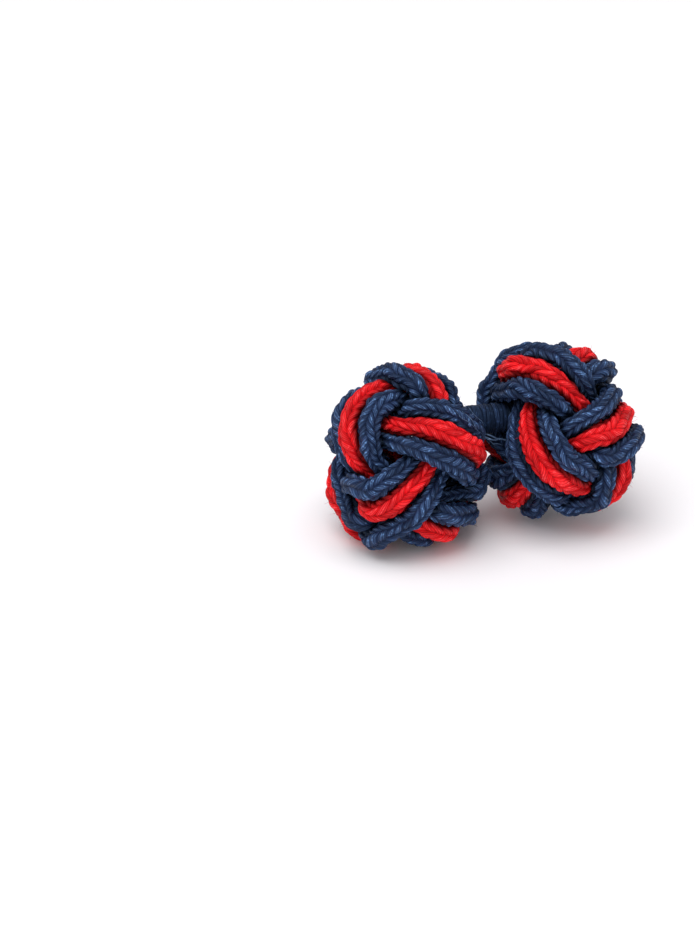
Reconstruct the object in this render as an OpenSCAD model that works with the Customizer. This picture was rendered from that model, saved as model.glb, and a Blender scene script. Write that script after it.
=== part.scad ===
/* [Cords] */
// Diameter of a braided cord where it lies on top, in mm.
cord_d = 1.42; // [1.3:0.02:1.5]
// Diameter of the same cord where it is squeezed under the others, in mm.
cord_under_d = 0.98; // [0.9:0.02:1.2]
// How much room a cord takes up for each mm of its diameter as the knot is drawn tight.
cord_room = 1.14; // [1.12:0.01:1.2]
// Sides of a cord's round section.
cord_sides = 8; // [6:2:10]

/* [Band] */
// Radius of the band's middle line before a knot is drawn tight, in mm.
ball_r = 4.8; // [4.7:0.05:4.9]
// Height of an upper crossing above that line, in mm. A lower one is as far below it.
crossing_h = 1.05; // [0.95:0.05:1.1]
// Share of the way between two crossings on which the band stays level.
level_share = 0.35; // [0.25:0.05:0.4]
// Greatest half thickness of a knot along the link, in mm.
half_thick = 5.4; // [5.3:0.05:5.6]

/* [Front knot] */
// Angle between its neighbouring cords, seen from its middle, in degrees.
front_angle = 17; // [16.5:0.5:18]
// Thickness along the link before it is drawn tight, as a share of its width.
front_flat = 1; // [0.95:0.01:1]
// Height of its middle above the surface that it is squashed against a little, in mm.
front_rest_h = 5.6; // [5.5:0.05:5.8]

/* [Rear knot] */
// Angle between its neighbouring cords, seen from its middle, in degrees.
rear_angle = 20.5; // [19.5:0.5:21]
// Thickness along the link before it is drawn tight, as a share of its width.
rear_flat = 0.94; // [0.92:0.01:0.98]
// Height of its middle above the surface that it is squashed against a little, in mm.
rear_rest_h = 5.8; // [5.6:0.05:5.9]

/* [Shank] */
// Diameter of the elastic shank over its ribs, in mm.
shank_d = 2.1; // [1.9:0.05:2.2]
// Depth of the grooves between its ribs, in mm.
rib_depth = 0.1; // [0.05:0.01:0.15]
// Distance from rib to rib, in mm.
rib_pitch = 0.5; // [0.4:0.05:0.7]

/* [Hidden] */

// Crossings of each knot's band, as [degrees round from +X, degrees up].
FRONT_CROSSINGS = [
    [291, 34],
    [14, -33],
    [54, -48],
    [165, -32],
    [225, -23],
    [72, 68],
    [124, 11],
    [287, -41],
    [177, 47]
];
REAR_CROSSINGS = [
    [308, -23],
    [54, -8],
    [12, 63],
    [120, 18],
    [183, -49],
    [299, 22],
    [171, 66],
    [97, -18],
    [243, -5]
];

// Order in which the band passes the crossings, over and under by turns.
ORDER = [0, 1, 2, 3, 4, 0, 5, 6, 3, 7, 1, 5, 8, 4, 7, 2, 6, 8];

// Middles of the two knots, the shank's middle line and its half length, in mm.
front_at = [-5.34, 0, -0.67];
rear_at = [5.36, 0, -0.46];
shank_y = 0.9;
shank_z = 0.94;
shank_half = 2.85;

// Points along each cord, passes of the tightening, and passes between two counts of the neighbours.
m = 120;
passes = 90;
count_every = 10;
n = 3 * m;
room_over = cord_room * cord_d / 2;
room_under = cord_room * cord_under_d / 2;
thin = 0.054 * ball_r / room_over;
reach = 2.9 * room_over;
navy = [0.13, 0.2, 0.36];
red = [0.85, 0.1, 0.13];

function unit(v) = v / norm(v);
function ball(a) = [cos(a[1]) * cos(a[0]), cos(a[1]) * sin(a[0]), sin(a[1])];
function mixed(a, b, s) = a + (b - a) * s;
function bound(x, a, b) = min(b, max(a, x));

// The band's middle line on a ball of radius 1: q counts the crossings passed.
function visit(C, k) = C[ORDER[(k + 18) % 18]];
function slope(a, b, c) =
    let (d = norm(c - b), e = norm(b - a))
    ((c - b) / d * e + (b - a) / e * d) / (d + e);
function band_dir(C, q) =
    let (k = floor(q), f = q - k)
    let (a = visit(C, k - 1), b = visit(C, k), c = visit(C, k + 1), d = visit(C, k + 2))
    let (l = norm(c - b))
    unit(
        (2 * f ^ 3 - 3 * f ^ 2 + 1) * b + (f ^ 3 - 2 * f ^ 2 + f) * l * slope(a, b, c)
        + (3 * f ^ 2 - 2 * f ^ 3) * c + (f ^ 3 - f ^ 2) * l * slope(b, c, d)
    );

// How high the band lies at q: 1 on top, -1 below, with the first crossing as given.
function height(q, first) =
    let (f = q - floor(q), g = bound((f - 0.5) / (1 - level_share) + 0.5, 0, 1))
    first * (floor(q) % 2 == 0 ? 1 : -1) * cos(180 * g);

// Three cords side by side along the band, the given angle apart.
function band(C, first, angle, flat) =
    let (P = [for (i = [0 : m - 1]) band_dir(C, i * 18 / m)])
    let (S = [for (i = [0 : m - 1]) unit(cross(P[i], P[(i + 1) % m] - P[(i + m - 1) % m]))])
    [for (j = [-1 : 1]) for (i = [0 : m - 1])
        let (r = ball_r + crossing_h * height(i * 18 / m, first))
        let (q = r * unit(P[i] + j * angle * PI / 180 * S[i]))
        [flat * q[0], q[1], q[2]]];

// Room that a cord takes up at each of its points, as a radius.
function rooms(first) =
    [for (j = [-1 : 1]) for (i = [0 : m - 1])
        mixed(room_under, room_over, (1 + height(i * 18 / m, first)) / 2)];

// For each point, the points that can come to press on it.
function apart(i, j) = floor(i / m) != floor(j / m) || (abs(i - j) > 3 && abs(i - j) < m - 3);
function neighbours(X) =
    [for (i = [0 : n - 1]) [for (j = [0 : n - 1]) if (norm(X[i] - X[j]) < reach && apart(i, j)) j]];

// The moves of one pass: away from cords too close, off the shank, in from the end faces, up off the floor.
function push(X, N, R, i, grown) =
    let (W = [for (j = N[i])
        let (v = X[i] - X[j], d = norm(v), g = grown * (R[i] + R[j]))
        d < g ? v * (g / d - 1) : [0, 0, 0]])
    len(W) == 0 ? [0, 0, 0] : [for (w = W) 1] * W;
function off_shank(p, S, need) =
    let (s = S[1] - S[0], t = bound((p - S[0]) * s / (s * s), 0, 1))
    let (v = p - S[0] - t * s, d = norm(v))
    d < need ? v * (need / d - 1) : [0, 0, 0];
function off_face(p, r) =
    let (over = abs(p[0]) + r - half_thick)
    [over > 0 ? -over * sign(p[0]) : 0, 0, 0];
function off_surface(p, r, rest_h) = [0, 0, max(0, r - rest_h - p[2])];

// One pass at e, 0 to 1: cords grow to their full room, bends even out, points stay evenly spaced.
function pass(X, N, R, T0, T1, S, rest_h, e) =
    let (g = min(1, e / 0.6), grown = mixed(thin, 1, g), ease = 1 - e)
    let (shank_r = shank_d / 2 * min(1, 0.3 + g))
    [for (i = [0 : n - 1])
        let (c = i - i % m, a = X[c + (i + m - 1) % m], b = X[c + (i + 1) % m], p = X[i])
        let (lap = (a + b) / 2 - p, t = unit(b - a), along = (lap * t) * t)
        p + 0.45 * push(X, N, R, i, grown)
        + 0.6 * off_shank(p, S, grown * R[i] + shank_r)
        + 0.4 * off_face(p, R[i])
        + 0.8 * off_surface(p, R[i], rest_h)
        + 0.12 * ease * (lap - along) + 0.5 * along
        + 0.025 * ease * (mixed(T0[i], T1[i], g) - p)];
function tighten(X, N, R, T0, T1, S, rest_h, k) =
    k == passes ? X :
    let (M = k % count_every == 0 ? neighbours(X) : N)
    tighten(pass(X, M, R, T0, T1, S, rest_h, k / (passes - 1)), M, R, T0, T1, S, rest_h, k + 1);

// Less than half the way to the nearest other cord, so that squeezed cords are thinner and never meet.
function radii(X, R) =
    let (N = neighbours(X))
    let (L = [for (i = [0 : n - 1])
        min([R[i] / cord_room, for (j = N[i]) 0.485 * norm(X[i] - X[j])])])
    let (M = [for (i = [0 : n - 1])
        let (c = i - i % m)
        min(L[i], L[c + (i + 1) % m], L[c + (i + m - 1) % m])])
    [for (i = [0 : n - 1])
        let (c = i - i % m)
        M[i] / 2 + M[c + (i + 1) % m] / 4 + M[c + (i + m - 1) % m] / 4];

// A knot: its settled points and the cords' radii there.
function knot(C, first, angle, flat, rest_h, S) =
    let (D = [for (c = C) ball(c)], R = rooms(first))
    let (T0 = band(D, first, 6.875, flat), T1 = band(D, first, angle, flat))
    let (X = tighten(T0, [], R, T0, T1, S, rest_h, 0))
    [X, radii(X, R)];

// A round cord through a closed ring of points, those from number c on of the knot's points. The ring's
// first corner is carried along without twist, and what is left over at the end is shared out evenly.
module cord(K, c) {
    X = [for (i = [0 : m - 1]) K[0][c + i]];
    T = [for (i = [0 : m - 1]) unit(X[(i + 1) % m] - X[(i + m - 1) % m])];
    U = [for (i = 0, u = unit(cross(T[0], [0.3, 0.5, 0.8])); i <= m;
        i = i + 1, u = unit(u - (u * T[i % m]) * T[i % m])) u];
    rest = atan2(cross(U[m], U[0]) * T[0], U[m] * U[0]);
    P = [for (i = [0 : m - 1]) for (k = [0 : cord_sides - 1])
        let (a = 360 * k / cord_sides + rest * i / m)
        X[i] + K[1][c + i] * (cos(a) * U[i] + sin(a) * cross(T[i], U[i]))];
    F = [for (i = [0 : m - 1]) for (k = [0 : cord_sides - 1])
        let (i2 = (i + 1) % m * cord_sides, k2 = (k + 1) % cord_sides)
        let (a = i * cord_sides + k, b = i * cord_sides + k2, c = i2 + k, d = i2 + k2)
        each [[a, c, b], [b, c, d]]];
    polyhedron(points = P, faces = F, convexity = 12);
}

// The shank's middle line as a knot on the given side sees it, from outside in.
function shank_in(at, side) =
    let (y = shank_y - at[1], z = shank_z - at[2])
    [[6 * side, y, z], [(abs(at[0]) - shank_half) * side, y, z]];

module front_cord(c) {
    K = knot(FRONT_CROSSINGS, 1, front_angle, front_flat, front_rest_h, shank_in(front_at, 1));
    translate(front_at) cord(K, c);
}

module rear_cord(c) {
    K = knot(REAR_CROSSINGS, -1, rear_angle, rear_flat, rear_rest_h, shank_in(rear_at, -1));
    translate(rear_at) cord(K, c);
}

module front_knot_navy_a() {
    color(navy) front_cord(0);
}

module front_knot_red() {
    color(red) front_cord(m);
}

module front_knot_navy_b() {
    color(navy) front_cord(2 * m);
}

module rear_knot_navy_a() {
    color(navy) rear_cord(0);
}

module rear_knot_red() {
    color(red) rear_cord(m);
}

module rear_knot_navy_b() {
    color(navy) rear_cord(2 * m);
}

// Elastic stem between the knots, with round ribs across it.
module shank() {
    steps = 4 * floor(2 * shank_half / rib_pitch);
    profile = [for (i = [0 : steps])
        [shank_d / 2 - rib_depth * (1 - cos(90 * i)) / 2, 2 * shank_half * i / steps - shank_half]];
    color(navy)
        translate([0, shank_y, shank_z])
        rotate([0, 90, 0])
        rotate_extrude($fn = 48)
        polygon(concat([[0, -shank_half]], profile, [[0, shank_half]]));
}

front_knot_navy_a();
front_knot_red();
front_knot_navy_b();
rear_knot_navy_a();
rear_knot_red();
rear_knot_navy_b();
shank();
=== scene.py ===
"""Silk knot cufflink: two knots woven of braided cords, joined by a ribbed elastic shank.

Lengths in the tables and in the knot functions are millimetres; meshes, camera and lights are metres.
"""
import math

import bpy
import numpy as np
from mathutils import Matrix, Vector


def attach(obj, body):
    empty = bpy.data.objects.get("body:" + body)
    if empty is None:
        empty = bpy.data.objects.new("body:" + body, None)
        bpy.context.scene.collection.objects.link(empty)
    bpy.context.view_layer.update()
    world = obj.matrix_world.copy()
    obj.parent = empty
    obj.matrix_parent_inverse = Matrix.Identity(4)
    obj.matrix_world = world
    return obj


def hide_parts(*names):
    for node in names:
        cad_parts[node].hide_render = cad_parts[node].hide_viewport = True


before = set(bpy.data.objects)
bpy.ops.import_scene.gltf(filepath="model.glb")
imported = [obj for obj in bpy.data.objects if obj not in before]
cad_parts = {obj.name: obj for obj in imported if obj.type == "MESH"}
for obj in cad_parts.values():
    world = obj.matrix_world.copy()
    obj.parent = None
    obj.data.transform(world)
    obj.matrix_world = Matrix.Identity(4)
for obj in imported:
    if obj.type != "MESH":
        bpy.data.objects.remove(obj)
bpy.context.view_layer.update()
MM = 0.001

# Crossings of each knot's band on a ball, as degrees round from +X and degrees up.
FRONT_CROSSINGS = [[291, 34], [14, -33], [54, -48], [165, -32], [225, -23],
                   [72, 68], [124, 11], [287, -41], [177, 47]]
REAR_CROSSINGS = [[308, -23], [54, -8], [12, 63], [120, 18], [183, -49],
                  [299, 22], [171, 66], [97, -18], [243, -5]]
# Order in which the band passes the crossings, over and under by turns.
ORDER = np.array([0, 1, 2, 3, 4, 0, 5, 6, 3, 7, 1, 5, 8, 4, 7, 2, 6, 8])
VISITS = len(ORDER)

POINTS = 120            # along each cord while the knot is drawn tight
PASSES = 90
COUNT_EVERY = 10        # passes between two counts of the neighbours
BALL_R = 4.8            # radius of the band's middle line before the knot is drawn tight
CROSSING_H = 1.05       # height of an upper crossing over that line
LEVEL_SHARE = 0.35      # share of the way between two crossings on which the band stays level
HALF_THICK = 5.4        # greatest half thickness of a knot along the link
ROOM_OVER = 0.8094      # half the room of a cord on top, and squeezed under the others
ROOM_UNDER = 0.5586
THIN = 0.054 * BALL_R / ROOM_OVER       # share of that room at the start
GROWN_AT = 0.6          # share of the passes after which a cord has its full room
START_ANGLE = 6.875     # between neighbouring cords at the start, in degrees
PRESS_REACH = 2.9 * ROOM_OVER           # how far off a point is still counted as a neighbour
OWN_POINTS = 3          # points to each side that never press on a point of the same cord
WIDTH_OF_ROOM = 1.03    # a cord's half width for each mm of its room, but never more than
WIDTH_OF_GAP = 0.53     # this share of the way to the nearest other cord
SHANK_R = 1.05
SHANK_Y, SHANK_Z, SHANK_HALF = 0.9, 0.94, 2.85
SHANK_FAR = 6.0         # how far from a knot's middle its cords are still kept off the shank

# Share of each move that a pass makes: off other cords, off the shank, in from the end faces, up off
# the surface, towards an even bend, towards even spacing, and towards the band's own shape.
PUSH, OFF_SHANK, OFF_FACE, OFF_SURFACE = 0.45, 0.6, 0.4, 0.8
EVEN_BEND, EVEN_SPACING, TO_BAND = 0.12, 0.5, 0.025

# Each knot: its crossings, whether its band begins on top (1) or below (-1), the angle between its
# cords, its thickness as a share of its width, its middle's height over the surface that flattens it
# a little, its middle, and the side of it where the shank comes in (1 for +X).
KNOTS = {
    "front": dict(crossings=FRONT_CROSSINGS, first=1, angle=17.0, flat=1.0, rest_h=5.6,
                  at=(-5.34, 0.0, -0.67), side=1),
    "rear": dict(crossings=REAR_CROSSINGS, first=-1, angle=20.5, flat=0.94, rest_h=5.8,
                 at=(5.36, 0.0, -0.46), side=-1),
}

RINGS = 1560            # along a finished cord
SIDES = 48              # round it
OUT_BLUR = (40, 20)     # rings over which the way outwards is blurred, first and then
FULLNESS = 1.035        # a finished cord's half width for each mm of the knot's
STITCH = {"navy": 0.62, "red": 0.72}    # length of a stitch along each colour's cord
COLUMNS = 6             # columns of stitches round the cord
SLANT = 1.0             # stitches that an arm runs forward while it crosses its column
STITCH_H = 0.26         # height of a stitch over the groove beside it
ARM_WIDTH = 0.62        # half an arm's width, in stitches
ARM_ROUND = 0.78        # power of its rise over that width, 0.5 being a half circle
ARM_REACH = 0.61        # how far an arm reaches from its column's middle, in columns
ARM_FALL = 2.3          # how squarely it ends

# How uneven the braid is: amount, number of waves, and the shortest wave in stitches.
COLUMN_SHIFT = (0.15, 14, 3)    # of the columns against each other, in columns
COLUMN_SWAY = (0.3, 6, 9)       # of all columns together, in columns
STITCH_SHIFT = (0.16, 14, 4)    # of runs of stitches along the cord, in stitches
STITCH_STEP = (0.07, 10, 1.3)   # of the stitches from one to the next, in stitches
HEIGHT_CHANGE = (0.2, 14, 1.5)  # of the stitches' height, as a share
WIDTH_CHANGE = (0.02, 14, 3)    # of the cord's half width, in mm

CREVICE_REACH = 0.6        # how far from another cord the painted shade of the crevice between them reaches
CREVICE_RINGS, CREVICE_SIDES, CREVICE_LINE = 4, 2, 6     # the crevice depth is worked out on every so many rings, sides, middles
OWN_STRETCH = 0.04      # share of a cord to each side of a place that makes no seam with it
FAR = 9.0               # farther than anything that can touch

FIBRES = 260            # fine hairs that stand off each cord
FIBRE_LONG = (0.12, 0.38)
FIBRE_R = (0.007, 0.013)
FIBRE_TAPER = [1, 1, 0.8, 0.4]
FIBRE_OUT = 0.7         # how much they stand outwards, for a random lean of 1
FIBRE_BEND = 0.5        # how far a tip bends aside, for each mm of length
FIBRE_ROOT = 0.03       # how deep a fibre starts below the surface
OPEN_CREVICE = 0.25        # fibres stand only where the crevice depth is less than this

RIB_PITCH = 0.3         # from thread to thread along the shank
RIB_HALF = 0.52         # half a wound thread's width, in pitches
RIB_H = 0.035           # depth of the grooves between the wound threads
RIB_ALONG = 6.0         # run along the wound thread in a turn, as its pattern counts it
RIB_BACK, RIB_LOW = 0.45, 0.5           # its height in the pattern: the rise of its back, over its edges
SHANK_END_SHADE = (1.2, 0.8)                 # painted shade: the shank darkens from here outwards, over so many mm

SLANTED = np.array([0.31, 0.53, 0.79])  # a direction that no thread runs along for long
# Loose threads by the shank: start x y z, pull x y z, end x y z, radius.
STRAYS = [
    [-2.90, -3.05, 4.05, -2.05, -3.90, 3.10, -1.15, -3.00, 1.55, 0.026],
    [-2.45, -2.60, 4.00, -1.40, -3.30, 3.20, -0.90, -2.60, 1.90, 0.022],
    [-3.40, -3.40, 4.00, -2.60, -3.95, 3.40, -1.60, -3.45, 2.20, 0.020],
    [-0.45, -0.10, 0.30, 0.35, -0.95, 0.10, 1.15, -1.40, 0.35, 0.060],
    [-0.35, -0.20, 0.45, 0.50, -1.05, 0.45, 1.25, -1.50, 0.15, 0.045],
    [-0.20, -0.20, 0.15, 0.30, -0.80, -0.15, 0.85, -1.35, -0.10, 0.040],
]


# The two knots drawn tight

def unit(v):
    """Vectors divided by their own length."""
    return v / np.linalg.norm(v, axis=-1, keepdims=True)


def band_directions(crossings):
    """Middle line of the band on a ball of radius 1.

    A cubic through the crossings in visiting order: position and slope are given at both ends of each
    stretch, and the slope at a crossing is the mean of the two chords there, each weighted by the
    other's length. Returns directions and how many crossings have been passed, 0 to 18.
    """
    lon, lat = np.radians(np.array(crossings, float)).T
    c = np.stack([np.cos(lat) * np.cos(lon), np.cos(lat) * np.sin(lon), np.sin(lat)], -1)[ORDER]
    ahead = np.roll(c, -1, 0) - c
    d = np.linalg.norm(ahead, axis=1, keepdims=True)
    e = np.roll(d, 1, 0)
    slope = (ahead / d * e + np.roll(ahead, 1, 0) / e * d) / (d + e)
    q = np.arange(POINTS) * VISITS / POINTS
    k = np.floor(q).astype(int)
    f = (q - k)[:, None]
    k1 = (k + 1) % VISITS
    p = ((2 * f ** 3 - 3 * f ** 2 + 1) * c[k] + (f ** 3 - 2 * f ** 2 + f) * d[k] * slope[k]
         + (3 * f ** 2 - 2 * f ** 3) * c[k1] + (f ** 3 - f ** 2) * d[k] * slope[k1])
    return unit(p), q


def level(q, first):
    """Height of the band, +1 on top and -1 below.

    A cosine's swing from one crossing to the next, flattened at both ends, and back after it.
    """
    f = q - np.floor(q)
    g = np.clip((f - 0.5) / (1 - LEVEL_SHARE) + 0.5, 0, 1)
    return first * np.where(np.floor(q) % 2 == 0, 1, -1) * np.cos(np.pi * g)


def laid_out(k, angle):
    """Three cords side by side along the band, angle degrees apart, on a ball that breathes in and out."""
    p, q = band_directions(k["crossings"])
    side = unit(np.cross(p, np.roll(p, -1, 0) - np.roll(p, 1, 0)))
    r = (BALL_R + CROSSING_H * level(q, k["first"]))[:, None]
    cords = [r * unit(p + j * math.radians(angle) * side) * [k["flat"], 1, 1] for j in (-1, 0, 1)]
    return np.concatenate(cords)


def next_to_it(n):
    """Which of n points lie next to each other on the same cord, as a square table."""
    i = np.arange(n)
    same = i[:, None] // POINTS == i[None] // POINTS
    gap = np.abs(i[:, None] - i[None])
    return same & ((gap <= OWN_POINTS) | (gap >= POINTS - OWN_POINTS))


def near(x):
    """For each point, a table of the points that can come to press on it, and which entries count."""
    d = np.linalg.norm(x[:, None] - x[None], axis=2)
    ok = (d < PRESS_REACH) & ~next_to_it(len(x))
    width = int(ok.sum(1).max())
    table = np.argsort(~ok, axis=1, kind="stable")[:, :width]
    return table, np.take_along_axis(ok, table, 1)


def tightened(k):
    """The knot drawn tight: cords start thin and close together and grow to their full room.

    In each pass cords that are too close move apart, off the shank, in from the end faces and up off
    the surface, their bends even out and they are drawn a little towards the band's own shape.
    Returns the three cords' points and the half width that each point has.
    """
    q = np.tile(np.arange(POINTS) * VISITS / POINTS, 3)
    room = ROOM_UNDER + (ROOM_OVER - ROOM_UNDER) * (1 + level(q, k["first"])) / 2
    t0, t1 = laid_out(k, START_ANGLE), laid_out(k, k["angle"])
    y, z = SHANK_Y - k["at"][1], SHANK_Z - k["at"][2]
    a = np.array([SHANK_FAR * k["side"], y, z])
    s = np.array([(abs(k["at"][0]) - SHANK_HALF) * k["side"], y, z]) - a
    i = np.arange(3 * POINTS)
    after, before = i - i % POINTS + (i + 1) % POINTS, i - i % POINTS + (i - 1) % POINTS
    x = t0.copy()
    for n in range(PASSES):
        e = n / (PASSES - 1)
        g = min(1, e / GROWN_AT)
        grown = THIN + (1 - THIN) * g
        if n % COUNT_EVERY == 0:
            table, counts = near(x)
        v = x[:, None] - x[table]
        d = np.linalg.norm(v, axis=2) + 1e-9
        need = grown * (room[:, None] + room[table])
        push = (np.where(counts & (d < need), need / d - 1, 0)[..., None] * v).sum(1)
        t = np.clip(((x - a) @ s) / (s @ s), 0, 1)
        v = x - a - t[:, None] * s
        d = np.linalg.norm(v, axis=1)
        off = np.clip((grown * room + SHANK_R * min(1, 0.3 + g)) / d - 1, 0, None)[:, None] * v
        over = np.clip(np.abs(x[:, 0]) + room - HALF_THICK, 0, None) * np.sign(x[:, 0])
        low = np.clip(room - k["rest_h"] - x[:, 2], 0, None)
        lap = (x[after] + x[before]) / 2 - x
        tangent = unit(x[after] - x[before])
        along = (lap * tangent).sum(1, keepdims=True) * tangent
        x = (x + PUSH * push + OFF_SHANK * off
             - OFF_FACE * over[:, None] * [1, 0, 0] + OFF_SURFACE * low[:, None] * [0, 0, 1]
             + EVEN_BEND * (1 - e) * (lap - along) + EVEN_SPACING * along
             + TO_BAND * (1 - e) * (t0 + (t1 - t0) * g - x))
    d = np.linalg.norm(x[:, None] - x[None], axis=2)
    d[next_to_it(len(x))] = FAR
    half = np.minimum(room * WIDTH_OF_ROOM, WIDTH_OF_GAP * d.min(1)).reshape(3, POINTS)
    half = (half * 2 + np.roll(half, 1, 1) + np.roll(half, -1, 1)) / 4
    return x.reshape(3, POINTS, 3), half


# Surfaces

def refined(values, n):
    """A closed row of values carried to n evenly numbered places by its own Fourier series."""
    m = values.shape[0]
    f = np.fft.rfft(values, axis=0)
    g = np.zeros((n // 2 + 1,) + values.shape[1:], complex)
    g[:f.shape[0]] = f
    return np.fft.irfft(g, n, axis=0) * (n / m)


def even_line(points, half):
    """Ring middles spaced evenly along the closed line, the cord's half width there, the line's length."""
    fine = refined(np.concatenate([points, half[:, None]], 1), 8 * RINGS)
    closed = np.concatenate([fine, fine[:1]])
    run = np.concatenate([[0], np.cumsum(np.linalg.norm(np.diff(closed[:, :3], axis=0), axis=1))])
    at = np.arange(RINGS) * run[-1] / RINGS
    out = np.stack([np.interp(at, run, closed[:, c]) for c in range(4)], -1)
    return out[:, :3], out[:, 3], run[-1]


def smoothed(v, reach):
    """A closed row blurred with a Gaussian of the given reach, in rows, by way of its Fourier series."""
    f = np.fft.rfft(v, axis=0)
    w = np.exp(-0.5 * (2 * np.pi * np.arange(f.shape[0]) / len(v) * reach) ** 2)
    return np.fft.irfft(f * w.reshape((-1,) + (1,) * (v.ndim - 1)), len(v), axis=0)


def ring_ways(line, theta):
    """Directions from a closed line's points to the places theta round their rings.

    A ring starts outwards from the knot's middle, blurred along the cord and squared to it, twice.
    """
    tangent = unit(np.roll(line, -1, 0) - np.roll(line, 1, 0))
    out = unit(line)
    for reach in OUT_BLUR:
        out = out - (out * tangent).sum(1, keepdims=True) * tangent
        out = smoothed(out, reach)
    out = unit(out - (out * tangent).sum(1, keepdims=True) * tangent)
    beside = np.cross(tangent, out)
    return np.cos(theta) * out[:, None] + np.sin(theta) * beside[:, None]


def stitches(turn, s):
    """Height, 0 to 1, of a braid of slanted stitches, turn columns round and s stitches along.

    Each column's arms run from its one edge to the other and forwards, in neighbouring columns to
    opposite sides, so that they make rows of V's that interlock half a stitch apart. An arm is
    highest along its middle and rounds off to its sides and its two ends. Where arms overlap, the
    higher one counts.
    """
    best = np.zeros(np.broadcast(turn, s).shape)
    for step in (-1, 0, 1):
        column = np.floor(turn) + step
        x = turn - column - 0.5
        odd = np.mod(column, 2)
        y = s + 0.5 * odd - (1 - 2 * odd) * SLANT * x
        phase = y - np.round(y)
        h = np.clip(1 - (phase / ARM_WIDTH) ** 2, 0, 1) ** ARM_ROUND
        h = h * np.clip(1 - np.abs(x / ARM_REACH) ** ARM_FALL, 0, 1)
        best = np.maximum(best, h)
    return best


def wander(rng, turn, s, count, how):
    """A smooth uneven field over a cord of count stitches, which closes both ways: a sum of seeded sines.

    how is three numbers: its usual greatest value, how many sines, the shortest one's length in stitches.
    """
    amount, waves, finest = how
    total = 0
    for _ in range(waves):
        round_it, along = rng.integers(-2, 3), rng.integers(count // 30, int(count / finest))
        total = total + np.sin(2 * np.pi * (round_it * turn / COLUMNS + along * s / count + rng.random()))
    return amount * (total / math.sqrt(waves / 2) / 1.4)


def grid_mesh(name, verts, u, v, u_end, v_end, crevice, closed=True, length=None):
    """A tube, ring by ring, with a UV map that grows by u_end round each ring and by v_end along it.

    The seventh argument is the vertices' attribute of its own name, which sets painted shade: for braids,
    how deep each vertex lies in a crevice between cords.
    With a length, each run of that many rings is an open tube of its own.
    """
    rings, sides = verts.shape[:2]
    i = np.arange(rings if closed else rings - 1)
    if length:
        i = i[i % length < length - 1]
    i = i[:, None, None]
    j = np.arange(sides)[None, :, None]
    i, j = np.broadcast_arrays(i + np.array([0, 0, 1, 1]), j + np.array([0, 1, 1, 0]))
    quads = (i % rings * sides + j % sides).reshape(-1, 4)
    uv = np.stack([u.ravel()[quads] + (j.reshape(-1, 4) >= sides) * u_end,
                   v.ravel()[quads] + (i.reshape(-1, 4) >= rings) * v_end], -1)
    mesh = bpy.data.meshes.new(name)
    mesh.vertices.add(rings * sides)
    mesh.vertices.foreach_set("co", (verts * MM).astype(np.float32).ravel())
    mesh.loops.add(quads.size)
    mesh.loops.foreach_set("vertex_index", quads.astype(np.int32).ravel())
    mesh.polygons.add(len(quads))
    mesh.polygons.foreach_set("loop_start", np.arange(0, quads.size, 4, dtype=np.int32))
    mesh.polygons.foreach_set("loop_total", np.full(len(quads), 4, np.int32))
    mesh.polygons.foreach_set("use_smooth", np.ones(len(quads), bool))
    mesh.update(calc_edges=True)
    mesh.uv_layers.new(name="strand").data.foreach_set("uv", uv.astype(np.float32).ravel())
    crevice_layer = mesh.attributes.new("crevice", "FLOAT", "POINT")
    crevice_layer.data.foreach_set("value", crevice.astype(np.float32).ravel())
    obj = bpy.data.objects.new(name, mesh)
    bpy.context.scene.collection.objects.link(obj)
    return obj


def packed(surface, own, lines, halves):
    """How deep each surface point lies in the crevice to another cord, for its painted shade: 1 where they
    touch, 0 as far off as that shade reaches.

    surface is every few rings and sides of one cord; lines and halves are all the cords' middles and
    half widths, every few rings; own says which cord it is, whose nearby stretch is left out.
    """
    rings, sides = surface.shape[:2]
    best = np.full((rings, sides), FAR)
    for c, (line, half) in enumerate(zip(lines, halves)):
        d = surface @ line.T * -2 + (surface ** 2).sum(-1)[..., None] + (line ** 2).sum(-1)
        d = np.sqrt(np.clip(d, 0, None)) - half
        if c == own:
            gap = np.abs(np.arange(rings)[:, None] / rings - np.arange(len(line)) / len(line))
            d = d + FAR * (np.minimum(gap, 1 - gap) < OWN_STRETCH)[:, None]
        best = np.minimum(best, d.min(-1))
    return np.clip(1 - best / CREVICE_REACH, 0, 1)


def crevice_depth(own, lines, halves, half, way):
    """How deep each place of one cord lies in a crevice, for its painted shade: worked out on part of its
    rings and sides, then spread evenly.
    """
    middles = lines[own][::CREVICE_RINGS, None]
    coarse = middles + half[::CREVICE_RINGS, None, None] * way[::CREVICE_RINGS, ::CREVICE_SIDES]
    crevice = packed(coarse, own, [line[::CREVICE_LINE] for line in lines], [h[::CREVICE_LINE] for h in halves])
    crevice = np.repeat(np.repeat(crevice, CREVICE_RINGS, 0), CREVICE_SIDES, 1)
    for _ in range(2):
        crevice = (crevice + np.roll(crevice, 1, 0) + np.roll(crevice, -1, 0)
                + np.roll(crevice, 1, 1) + np.roll(crevice, -1, 1)) / 5
    return crevice


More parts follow.
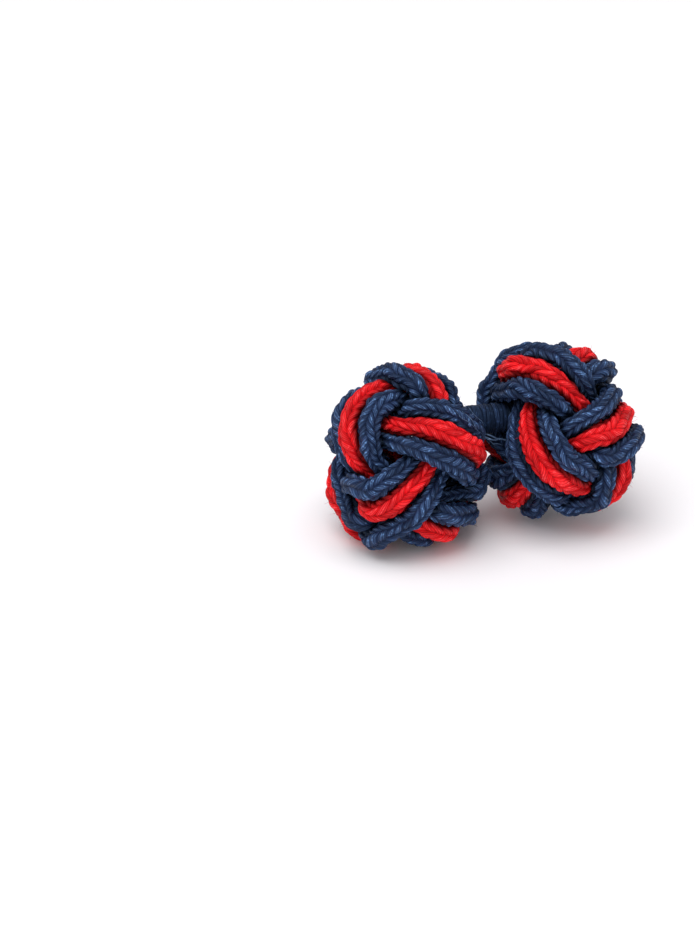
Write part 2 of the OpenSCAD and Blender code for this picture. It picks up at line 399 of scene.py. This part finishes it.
def braided_cords(names, cords, widths, at, seed, floor_z):
    """Three braided cords: round tubes along closed lines whose half width carries the stitches' relief.

    Returns for each cord its tube, its fibres and its lowest height in metres.
    """
    theta = ((np.arange(SIDES) + 0.5) / SIDES * 2 * np.pi)[None, :, None]
    tubes = [even_line(points, half) for points, half in zip(cords, widths)]
    lines, halves, lengths = zip(*tubes)
    made = []
    for own, (name, line, half, length) in enumerate(zip(names, lines, halves, lengths)):
        way = ring_ways(line, theta)
        rng = np.random.default_rng(seed + own)
        count = round(length / STITCH["red" if "red" in name else "navy"])
        turn, s = np.broadcast_arrays((np.arange(SIDES)[None] + 0.5) / SIDES * COLUMNS,
                                      np.arange(RINGS)[:, None] * count / RINGS)
        u = turn + wander(rng, turn, s, count, COLUMN_SHIFT) + wander(rng, 0 * turn, s, count, COLUMN_SWAY)
        v = s + wander(rng, turn, s, count, STITCH_SHIFT) + wander(rng, turn, s, count, STITCH_STEP)
        h = stitches(u, v) * (1 + wander(rng, turn, s, count, HEIGHT_CHANGE))
        r = half[:, None] * FULLNESS - STITCH_H * (1 - h) + wander(rng, turn, s, count, WIDTH_CHANGE)
        verts = line[:, None] + r[..., None] * way + np.array(at)
        # Crevice depth: it sets the painted shade in the crevices between cords, and no fibres stand where
        # it is deep.
        crevice = crevice_depth(own, lines, halves, half, way)
        bare = crevice < OPEN_CREVICE
        tube = grid_mesh(name, verts, u, v, COLUMNS, count, crevice)
        hairs = fuzz(name.replace("braid", "fuzz"), verts[bare], way[bare], rng, floor_z)
        made.append((tube, hairs, verts[..., 2].min() * MM))
    return made


def sweep(name, middles, radius, sides, winding=1.0):
    """Thin threads, all of as many rings: middles is threads by rings by 3, radius threads by rings.

    Each ring stands square to its thread, and starts square to one slanted direction that all share.
    winding is how far the yarn's pattern winds on from ring to ring.
    """
    threads, rings = middles.shape[:2]
    tangent = unit(np.gradient(middles, axis=1))
    side = unit(np.cross(tangent, unit(SLANTED)))
    over = np.cross(tangent, side)
    theta = np.arange(sides) * 2 * np.pi / sides
    ring = np.cos(theta)[:, None] * side[:, :, None] + np.sin(theta)[:, None] * over[:, :, None]
    verts = middles[:, :, None] + radius[:, :, None, None] * ring
    turn = np.broadcast_to(np.arange(sides) / sides, verts.shape[:3])
    along = np.broadcast_to(winding * np.arange(rings)[:, None], verts.shape[:3])
    verts, turn, along = (a.reshape(threads * rings, sides, *a.shape[3:]) for a in (verts, turn, along))
    return grid_mesh(name, verts, turn, along, 1, 0, 0 * turn, False, rings)


def fuzz(name, verts, way, rng, floor_z):
    """Short fine fibres that stand off the yarn, each a bent hair from a place of the surface.

    None of them dips below the floor.
    """
    pick = rng.integers(0, len(verts), FIBRES)
    lean = unit(rng.normal(size=(FIBRES, 3)))
    bend = unit(rng.normal(size=(FIBRES, 3)))
    out = unit(FIBRE_OUT * way[pick] + lean)
    long = rng.uniform(*FIBRE_LONG, (FIBRES, 1, 1))
    t = np.linspace(0, 1, len(FIBRE_TAPER))[None, :, None]
    root = FIBRE_ROOT * way[pick][:, None]
    middles = verts[pick][:, None] + long * (t * out[:, None] + FIBRE_BEND * t * t * bend[:, None]) - root
    middles[..., 2] = np.maximum(middles[..., 2], floor_z)
    thick = np.repeat(rng.uniform(*FIBRE_R, (FIBRES, 1)), len(FIBRE_TAPER), 1)
    return sweep(name, middles, thick * FIBRE_TAPER, sides=3, winding=0.3)


def stray_threads(name):
    """Loose threads by the shank: bent curves through a start, a middle pull and an end, a little wavy."""
    rows, rings, sides = np.array(STRAYS), 24, 6
    t = np.linspace(0, 1, rings)[None, :, None]
    a, b, c = rows[:, None, 0:3], rows[:, None, 3:6], rows[:, None, 6:9]
    wave = 0.05 * np.stack([np.sin(9 * t[..., 0] + rows[:, :1] * 7), np.cos(7 * t[..., 0]) + 0 * rows[:, :1],
                            np.sin(11 * t[..., 0] + rows[:, 1:2] * 5)], -1)
    middles = (1 - t) ** 2 * a + 2 * t * (1 - t) * b + t * t * c + wave
    taper = np.sin(np.linspace(0.5, 2.9, rings))
    return sweep(name, middles, np.repeat(rows[:, 9:], rings, 1) * taper, sides)


def ribbed_shank(name):
    """Elastic stem: a round tube whose half width swells over each wound thread, in a slight screw."""
    rings, sides = 460, 56
    x = np.linspace(-SHANK_HALF, SHANK_HALF, rings)[:, None]
    turn = (np.arange(sides)[None] + 0.5) / sides
    theta = turn * 2 * np.pi
    y = (x + SHANK_HALF) / RIB_PITCH + turn + 0.12 * np.sin(2 * theta + 5 * x) + 0.1 * np.sin(theta - 9 * x)
    h = np.sqrt(np.clip(1 - ((y - np.round(y)) / RIB_HALF) ** 2, 0, 1))
    r = SHANK_R - RIB_H * (1 - h) + 0.03 * np.sin(2 * theta + 1.3 * x) + 0.02 * np.sin(3 * theta - 7 * x)
    r = r * np.clip((SHANK_HALF - np.abs(x)) / 0.02, 0.02, 1)
    verts = np.stack([x + 0 * theta, SHANK_Y + r * np.cos(theta), SHANK_Z + r * np.sin(theta)], -1)
    # Painted shade: the shank grows darker towards both ends, given as its crevice depth.
    end_shade = np.clip((np.abs(x + 0 * theta) - SHANK_END_SHADE[0]) / SHANK_END_SHADE[1], 0, 1)
    return grid_mesh(name, verts, turn + 0 * x, y - turn, 1, 0, end_shade, False)


# Shader nodes

PATTERN = ("Height", "Across", "Along", "Shade")    # what a braid or winding says of a place on the yarn

# Noises over the yarn, in blots a metre: the trembling of its threads, patches of dye, streaks of painted
# glints.
SHAKE, PATCHES, GLINTS = 2600.0, 420.0, 5000.0
THREAD_LEAN, THREAD_SHAKE = 0.12, 0.22  # how much threads lean to the arm's run, and tremble
GROOVE_SHADE_HEIGHTS = (0.14, 0.48)                   # heights between which the painted shade of the groove gives way to the yarn's colour
HIGHLIGHT_HEIGHTS = (0.5, 1.0)                      # heights between which the painted highlight comes up
HIGHLIGHT_THREAD = (0.7, 0.2)               # its strength: rise from between the threads to their backs, least
HIGHLIGHT_ARM = (0.7, 0.25)                 # and rise from arm to arm, least
HIGHLIGHT_GLINTS = (0.56, 0.7, 0.5, 2.4)    # and from this to that noise of painted glints, from this to that much
PATCH_DYE = (0.3, 0.7, 0.86, 1.12)      # from this to that noise, from this to that strength of dye
ARM_DYE = (0.72, 1.18)                  # from the faintest to the strongest arm
THREAD_SHEEN_SHADE = (0.78, 1.15)               # from between the threads to their backs: painted shade between them, painted sheen on them
CREVICE_SHADE = (0.26, 0.9, 1.0, 0.22)       # painted shade of crevices between cords: from this to that depth, from this to that strength of colour
THREAD_ROUGH = (0.6, 0.32)              # roughness between the threads and on their backs
ARM_RELIEF, THREAD_RELIEF, SHAKE_RELIEF = 0.15, 0.022, 0.032    # in mm


def calc(tree, operation, *values):
    """A math node on numbers or other nodes' outputs."""
    node = tree.nodes.new("ShaderNodeMath")
    node.operation = operation
    for socket, value in zip(node.inputs, values):
        if isinstance(value, (int, float)):
            socket.default_value = value
        else:
            tree.links.new(value, socket)
    return node.outputs[0]


def blend(tree, factor, first, second):
    """A colour mix of two outputs."""
    node = tree.nodes.new("ShaderNodeMix")
    node.data_type = "RGBA"
    for key, value in (("Factor", factor), ("A", first), ("B", second)):
        fits = (i for i in node.inputs if i.name == key and (key == "Factor" or i.type == "RGBA"))
        tree.links.new(value, next(fits))
    return next(o for o in node.outputs if o.type == "RGBA")


def ramp(tree, value, low, high, to_low=0.0, to_high=1.0):
    """Values from low to high carried to to_low to to_high, clamped and eased."""
    node = tree.nodes.new("ShaderNodeMapRange")
    node.interpolation_type = "SMOOTHSTEP"
    tree.links.new(value, node.inputs["Value"])
    for key, number in (("From Min", low), ("From Max", high), ("To Min", to_low), ("To Max", to_high)):
        node.inputs[key].default_value = number
    return node.outputs["Result"]


def bulge(tree, phase, half, power):
    """(1 - (phase / half) squared) to a power, at least 0: a thread's round back across its width."""
    across = calc(tree, "POWER", calc(tree, "DIVIDE", phase, half), 2.0)
    return calc(tree, "POWER", calc(tree, "MAXIMUM", calc(tree, "SUBTRACT", 1.0, across), 0.0), power)


def strand_place(tree):
    """The two numbers of the UV map strand: columns or turns round the yarn, and stitches along it."""
    uv = tree.nodes.new("ShaderNodeUVMap")
    uv.uv_map = "strand"
    split = tree.nodes.new("ShaderNodeSeparateXYZ")
    tree.links.new(uv.outputs[0], split.inputs[0])
    return split.outputs[0], split.outputs[1]


def group(name, takes, gives):
    """An empty node group with named inputs (kind, value) and outputs (kind)."""
    tree = bpy.data.node_groups.new(name, "ShaderNodeTree")
    for key, (kind, value) in takes.items():
        tree.interface.new_socket(key, in_out="INPUT", socket_type="NodeSocket" + kind).default_value = value
    for key, kind in gives.items():
        tree.interface.new_socket(key, in_out="OUTPUT", socket_type="NodeSocket" + kind)
    return tree, tree.nodes.new("NodeGroupInput").outputs, tree.nodes.new("NodeGroupOutput").inputs


def arm_group():
    """One column's arm at a place on the cord, by the formula of stitches.

    Gives its height, the place across and along it, and a shade of its own.
    """
    tree, take, give = group("braid_arm", {key: ("Float", 0.0) for key in ("Turn", "Stitch", "Step")},
                             {key: "Float" for key in PATTERN})
    column = calc(tree, "ADD", calc(tree, "FLOOR", take["Turn"]), take["Step"])
    x = calc(tree, "SUBTRACT", calc(tree, "SUBTRACT", take["Turn"], column), 0.5)
    odd = calc(tree, "FLOORED_MODULO", column, 2.0)
    side = calc(tree, "MULTIPLY_ADD", odd, -2.0, 1.0)
    y = calc(tree, "SUBTRACT", calc(tree, "MULTIPLY_ADD", odd, 0.5, take["Stitch"]),
             calc(tree, "MULTIPLY", calc(tree, "MULTIPLY", side, x), SLANT))
    number = calc(tree, "ROUND", y)
    phase = calc(tree, "SUBTRACT", y, number)
    fall = calc(tree, "POWER", calc(tree, "DIVIDE", calc(tree, "ABSOLUTE", x), ARM_REACH), ARM_FALL)
    height = calc(tree, "MULTIPLY", bulge(tree, phase, ARM_WIDTH, ARM_ROUND),
                  calc(tree, "MAXIMUM", calc(tree, "SUBTRACT", 1.0, fall), 0.0))
    place = tree.nodes.new("ShaderNodeCombineXYZ")
    tree.links.new(number, place.inputs[0])
    tree.links.new(calc(tree, "FLOORED_MODULO", column, float(COLUMNS)), place.inputs[1])
    speck = tree.nodes.new("ShaderNodeTexWhiteNoise")
    speck.noise_dimensions = "2D"
    tree.links.new(place.outputs[0], speck.inputs["Vector"])
    for key, value in zip(PATTERN, (height, phase, x, speck.outputs["Value"])):
        tree.links.new(value, give[key])
    return tree


def braid_group():
    """The braid's highest arm at each place of the UV map, from a column and its two neighbours."""
    tree, _, give = group("braid", {}, {key: "Float" for key in PATTERN})
    arm = arm_group()
    turn, stitch = strand_place(tree)
    best = None
    for step in (0.0, -1.0, 1.0):
        node = tree.nodes.new("ShaderNodeGroup")
        node.node_tree = arm
        tree.links.new(turn, node.inputs["Turn"])
        tree.links.new(stitch, node.inputs["Stitch"])
        node.inputs["Step"].default_value = step
        if best is None:
            best = {key: node.outputs[key] for key in PATTERN}
            continue
        wins = calc(tree, "GREATER_THAN", node.outputs["Height"], best["Height"])
        for key in PATTERN:
            more = calc(tree, "SUBTRACT", node.outputs[key], best[key])
            best[key] = calc(tree, "MULTIPLY_ADD", wins, more, best[key])
    for key in PATTERN:
        tree.links.new(best[key], give[key])
    return tree


def winding_group():
    """A wound thread: its height and the place across and along it from the UV map, v counting the turns."""
    tree, _, give = group("winding", {}, {key: "Float" for key in PATTERN})
    turn, wound = strand_place(tree)
    y = calc(tree, "ADD", turn, wound)
    number = calc(tree, "ROUND", y)
    phase = calc(tree, "SUBTRACT", y, number)
    speck = tree.nodes.new("ShaderNodeTexWhiteNoise")
    speck.noise_dimensions = "1D"
    tree.links.new(number, speck.inputs["W"])
    height = calc(tree, "MULTIPLY_ADD", bulge(tree, phase, RIB_HALF, 0.5), RIB_BACK, RIB_LOW)
    along = calc(tree, "MULTIPLY", turn, RIB_ALONG)
    for key, value in zip(PATTERN, (height, phase, along, speck.outputs["Value"])):
        tree.links.new(value, give[key])
    return tree


def yarn_group():
    """Look of shiny yarn: fine threads along each arm, painted shade in the grooves between arms, painted
    highlights on the arms' backs, uneven dye.

    Threads is how many lie across an arm; the crevice input is how deep the place lies in a crevice between
    cords, which darkens it as painted shade. Relief is in mm.
    """
    tree, take, give = group(
        "satin_yarn",
        {"Height": ("Float", 1.0), "Across": ("Float", 0.0), "Along": ("Float", 0.0),
         "Shade": ("Float", 0.5),
         "Yarn colour": ("Color", (0.1, 0.1, 0.1, 1)), "Painted groove shade": ("Color", (0, 0, 0, 1)),
         "Painted highlight colour": ("Color", (0.5, 0.5, 0.5, 1)),
         "Threads": ("Float", 4.0), "Seam": ("Float", 0.0)},
        {"Colour": "Color", "Roughness": "Float", "Relief": "Float"})
    place = tree.nodes.new("ShaderNodeTexCoord")

    def noise(scale, detail):
        """Soft noise over the piece, with so many blots a metre."""
        node = tree.nodes.new("ShaderNodeTexNoise")
        node.inputs["Scale"].default_value = scale
        node.inputs["Detail"].default_value = detail
        tree.links.new(place.outputs["Object"], node.inputs["Vector"])
        return node.outputs["Fac"]

    # Fine threads: a sine across the arm that leans a little, trembles and starts anew on each arm.
    shake = noise(SHAKE, 2.0)
    run = calc(tree, "MULTIPLY_ADD", take["Along"], THREAD_LEAN, take["Across"])
    run = calc(tree, "MULTIPLY_ADD", shake, THREAD_SHAKE, run)
    run = calc(tree, "ADD", run, take["Shade"])
    run = calc(tree, "MULTIPLY", run, take["Threads"])
    wave = calc(tree, "SINE", calc(tree, "MULTIPLY", run, 2 * math.pi))
    thread = calc(tree, "MULTIPLY_ADD", wave, 0.5, 0.5)

    # Colour: painted shade low down in the grooves, and a painted highlight on the arms' backs, more on some
    # arms, in broken streaks of glints.
    deep = ramp(tree, take["Height"], *GROOVE_SHADE_HEIGHTS)
    base = blend(tree, deep, take["Painted groove shade"], take["Yarn colour"])
    highlight_share = calc(tree, "MULTIPLY", calc(tree, "MULTIPLY_ADD", thread, *HIGHLIGHT_THREAD),
                 ramp(tree, take["Height"], *HIGHLIGHT_HEIGHTS))
    highlight_share = calc(tree, "MULTIPLY", highlight_share, calc(tree, "MULTIPLY_ADD", take["Shade"], *HIGHLIGHT_ARM))
    highlight_share = calc(tree, "MULTIPLY", highlight_share, ramp(tree, noise(GLINTS, 1.0), *HIGHLIGHT_GLINTS))
    highlighted = blend(tree, highlight_share, base, take["Painted highlight colour"])

    # Dye: wide patches and a tone for each arm. Painted shade in the crevices between cords; painted sheen
    # and shade along the threads.
    dye_and_shade = calc(tree, "MULTIPLY", ramp(tree, noise(PATCHES, 3.0), *PATCH_DYE),
               ramp(tree, take["Shade"], 0.0, 1.0, *ARM_DYE))
    dye_and_shade = calc(tree, "MULTIPLY", dye_and_shade, ramp(tree, take["Seam"], *CREVICE_SHADE))
    # Painted sheen and shade: lighter on the threads' backs, darker between them.
    dye_and_shade = calc(tree, "MULTIPLY", dye_and_shade, ramp(tree, thread, 0.0, 1.0, *THREAD_SHEEN_SHADE))
    shade = tree.nodes.new("ShaderNodeVectorMath")
    shade.operation = "SCALE"
    tree.links.new(highlighted, shade.inputs[0])
    tree.links.new(dye_and_shade, shade.inputs["Scale"])
    tree.links.new(shade.outputs[0], give["Colour"])

    # Gloss and relief: threads are smoother and higher than the lines between them.
    tree.links.new(ramp(tree, thread, 0.0, 1.0, *THREAD_ROUGH), give["Roughness"])
    relief = calc(tree, "MULTIPLY", thread, THREAD_RELIEF)
    relief = calc(tree, "MULTIPLY_ADD", take["Height"], ARM_RELIEF, relief)
    relief = calc(tree, "MULTIPLY_ADD", shake, SHAKE_RELIEF, relief)
    tree.links.new(relief, give["Relief"])
    return tree


BRAID, WINDING, YARN = braid_group(), winding_group(), yarn_group()


# Materials

GLEAM = 0.34            # specular level of yarn seen square on
RIM = (0.45, 0.9)       # facings, 1 being edge on, between which it falls to nothing


def yarn_material(name, pattern, yarn, groove_shade, highlight, gloss, threads):
    """Satin yarn in a braided or wound pattern, on a soft glossy surface. The groove colour is painted shade
    and the light colour a painted highlight.
    """
    m = bpy.data.materials.new(name)
    m.use_nodes = True
    n, link = m.node_tree.nodes, m.node_tree.links.new
    surface = n["Principled BSDF"]
    weave, look = n.new("ShaderNodeGroup"), n.new("ShaderNodeGroup")
    weave.node_tree, look.node_tree = pattern, YARN
    for key in PATTERN:
        link(weave.outputs[key], look.inputs[key])
    look.inputs["Yarn colour"].default_value = (*yarn, 1)
    look.inputs["Painted groove shade"].default_value = (*groove_shade, 1)
    look.inputs["Painted highlight colour"].default_value = (*highlight, 1)
    look.inputs["Threads"].default_value = threads
    # Depth in a crevice between cords, which the look turns into painted shade.
    crevice = n.new("ShaderNodeAttribute")
    crevice.attribute_name = "crevice"
    link(crevice.outputs["Fac"], look.inputs["Seam"])
    bump = n.new("ShaderNodeBump")
    bump.inputs["Strength"].default_value = 1.0
    bump.inputs["Distance"].default_value = MM
    link(look.outputs["Colour"], surface.inputs["Base Color"])
    link(look.outputs["Roughness"], surface.inputs["Roughness"])
    link(look.outputs["Relief"], bump.inputs["Height"])
    link(bump.outputs[0], surface.inputs["Normal"])
    facing = n.new("ShaderNodeLayerWeight")
    link(bump.outputs[0], facing.inputs["Normal"])
    gleam = surface.inputs["Specular IOR Level"]
    gleam.default_value = GLEAM
    link(ramp(m.node_tree, facing.outputs["Facing"], *RIM, GLEAM, 0.0), gleam)
    surface.inputs["Specular Tint"].default_value = (*gloss, 1)
    return m


# In each yarn, the groove colour is painted shade and the light colour a painted highlight.
NAVY = yarn_material("navy_yarn", BRAID, yarn=(0.0105, 0.021, 0.064), groove_shade=(0.003, 0.0045, 0.01),
                     highlight=(0.105, 0.205, 0.42), gloss=(0.45, 0.65, 1.0), threads=3.6)
RED = yarn_material("red_yarn", BRAID, yarn=(0.74, 0.0062, 0.0105), groove_shade=(0.12, 0.0008, 0.0015),
                    highlight=(1.0, 0.07, 0.08), gloss=(1.0, 0.25, 0.25), threads=4.4)
ELASTIC = yarn_material("navy_elastic", WINDING, yarn=(0.006, 0.0108, 0.029), groove_shade=(0.001, 0.002, 0.004),
                        highlight=(0.03, 0.06, 0.15), gloss=(0.35, 0.6, 1.0), threads=3.0)
LOOSE = yarn_material("loose_navy_thread", WINDING, yarn=(0.07, 0.12, 0.24), groove_shade=(0.02, 0.035, 0.08),
                      highlight=(0.3, 0.44, 0.68), gloss=(0.6, 0.75, 1.0), threads=2.0)


# Pieces


def dressed(piece, material):
    """Gives a piece its material in a slot of its own, and puts it on the link's one body."""
    piece.data.materials.append(material)
    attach(piece, "root")


lowest = math.inf
for where, k in KNOTS.items():
    cords, half = tightened(k)
    start = 7 if k["first"] > 0 else 0      # the UV maps' seam lies where the band runs below
    cords, half = np.roll(cords, -start, 1), np.roll(half, -start, 1)
    nodes = ["%s_knot_%s" % (where, colour) for colour in ("navy_a", "red", "navy_b")]
    seed, floor_z = 10 * (k["first"] + 2), k["at"][2] - k["rest_h"]
    made = braided_cords([n + "_braid" for n in nodes], cords, half, k["at"], seed, floor_z)
    for node, (braid, hairs, low) in zip(nodes, made):
        lowest = min(lowest, low)
        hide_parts(node)
        for piece in (braid, hairs):
            dressed(piece, RED if node.endswith("red") else NAVY)

shank = ribbed_shank("shank_wound_yarn")
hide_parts("shank")
dressed(shank, ELASTIC)
dressed(stray_threads("shank_stray_threads"), LOOSE)


# Floor, light and camera

FLOOR_HALF = 1.5
PAPER = (0.95, 0.935, 0.96, 1)
SKY = 0.64              # strength of the white light from all round
floor_mesh = bpy.data.meshes.new("floor")
corners = [(x * FLOOR_HALF, y * FLOOR_HALF, lowest) for x, y in ((-1, -1), (1, -1), (1, 1), (-1, 1))]
floor_mesh.from_pydata(corners, [], [(0, 1, 2, 3)])
floor = bpy.data.objects.new("floor", floor_mesh)
bpy.context.scene.collection.objects.link(floor)
paper = bpy.data.materials.new("white_paper")
paper.use_nodes = True
finish = paper.node_tree.nodes["Principled BSDF"].inputs
finish["Base Color"].default_value = PAPER
finish["Roughness"].default_value = 0.7
finish["Specular IOR Level"].default_value = 0.2
floor_mesh.materials.append(paper)

world = bpy.data.worlds.new("studio")
bpy.context.scene.world = world
world.use_nodes = True
world.node_tree.nodes["Background"].inputs["Color"].default_value = (1, 1, 1, 1)
world.node_tree.nodes["Background"].inputs["Strength"].default_value = SKY


def area_light(name, where, size, watts):
    """A square soft light that looks at the origin."""
    data = bpy.data.lights.new(name, "AREA")
    data.shape, data.size, data.energy = "SQUARE", size, watts
    o = bpy.data.objects.new(name, data)
    o.location = where
    o.rotation_euler = (-Vector(where)).to_track_quat("-Z", "Y").to_euler()
    bpy.context.scene.collection.objects.link(o)


area_light("key", (-0.10, -0.08, 0.46), 0.44, 1.6)
area_light("fill", (-0.3, -0.35, 0.2), 0.35, 0.26)

AZIMUTH, ELEVATION = math.radians(-17), math.radians(26)
PICTURE_W, PICTURE_H = 695, 927
MIDDLE_PX = (484.5, 445.0)      # where the link's middle lies in the picture
MIDDLE = Vector((0.01, 0, -0.565)) * MM
PX_PER_MM = 14.6
DISTANCE = 0.25
SENSOR = 36.0
right = Vector((math.cos(AZIMUTH), math.sin(AZIMUTH), 0))
ahead = Vector((-math.sin(AZIMUTH), math.cos(AZIMUTH), 0))
look = ahead * math.cos(ELEVATION) - Vector((0, 0, 1)) * math.sin(ELEVATION)
up = ahead * math.sin(ELEVATION) + Vector((0, 0, 1)) * math.cos(ELEVATION)
aim = (MIDDLE - right * ((MIDDLE_PX[0] - PICTURE_W / 2) / PX_PER_MM * MM)
       + up * ((MIDDLE_PX[1] - PICTURE_H / 2) / PX_PER_MM * MM))
cam_data = bpy.data.cameras.new("camera")
cam_data.sensor_width = SENSOR
cam_data.lens = SENSOR / PICTURE_H * PX_PER_MM / MM * DISTANCE
cam_data.clip_start, cam_data.clip_end = 0.005, 5.0
cam = bpy.data.objects.new("camera", cam_data)
turned = Matrix((right, up, -look)).transposed().to_4x4()
cam.matrix_world = Matrix.Translation(aim - look * DISTANCE) @ turned
bpy.context.scene.collection.objects.link(cam)
bpy.context.scene.camera = cam
bpy.context.scene.view_settings.view_transform = "Standard"
